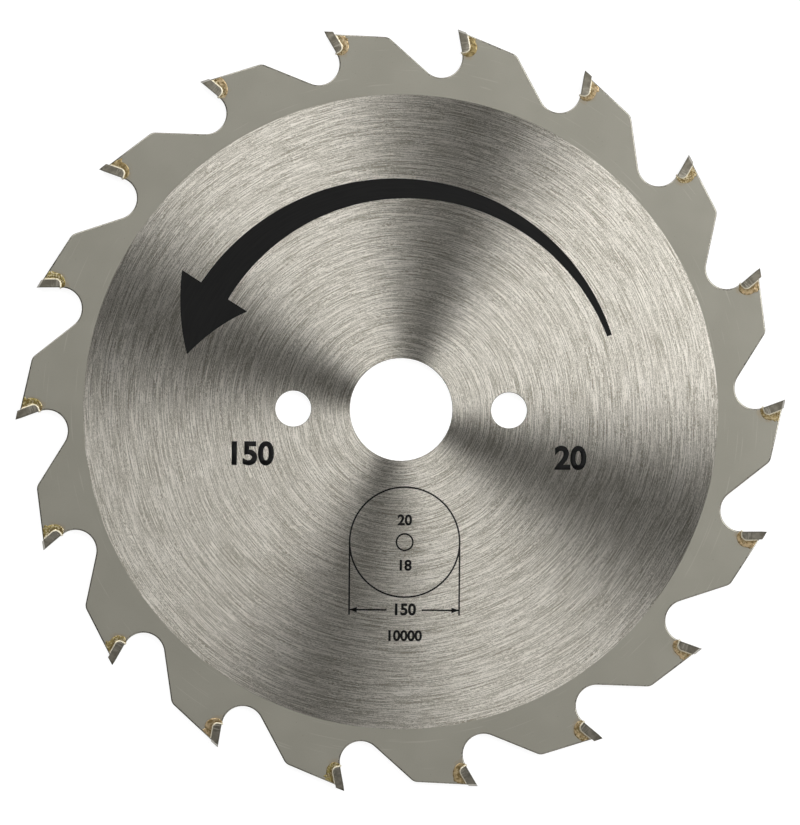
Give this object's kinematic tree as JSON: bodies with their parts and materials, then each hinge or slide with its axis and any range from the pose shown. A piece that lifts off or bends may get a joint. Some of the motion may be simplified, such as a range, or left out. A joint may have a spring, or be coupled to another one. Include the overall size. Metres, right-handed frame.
{
  "type": "tct circular saw blade",
  "caption": "Flat round steel saw blade with carbide tips brazed into the fronts of its teeth, deep round gullets, a central arbor bore and drive pin holes.",
  "frame": {"origin": "on the axis of the arbor bore, half way through the plate", "axes": "+Z along the blade's axis, out of the face from which the teeth point anticlockwise; +X along the line of the drive pin holes"},
  "size_m": [0.15, 0.1486, 0.0024],
  "materials": {
    "plate_steel": "brushed in circles over the middle, plain satin at the rim",
    "carbide": "ground, dark grey",
    "filler": "flowed, semi-gloss gold"
  },
  "bodies": {
    "root": {"blade_plate": "plate_steel", "tip_01": "carbide", "tip_02": "carbide", "tip_03": "carbide", "tip_04": "carbide", "tip_05": "carbide", "tip_06": "carbide", "tip_07": "carbide", "tip_08": "carbide", "tip_09": "carbide", "tip_10": "carbide", "tip_11": "carbide", "tip_12": "carbide", "tip_13": "carbide", "tip_14": "carbide", "tip_15": "carbide", "tip_16": "carbide", "tip_17": "carbide", "tip_18": "carbide", "braze_01": "filler", "braze_02": "filler", "braze_03": "filler", "braze_04": "filler", "braze_05": "filler", "braze_06": "filler", "braze_07": "filler", "braze_08": "filler", "braze_09": "filler", "braze_10": "filler", "braze_11": "filler", "braze_12": "filler", "braze_13": "filler", "braze_14": "filler", "braze_15": "filler", "braze_16": "filler", "braze_17": "filler", "braze_18": "filler"}
  },
  "joints": []
}
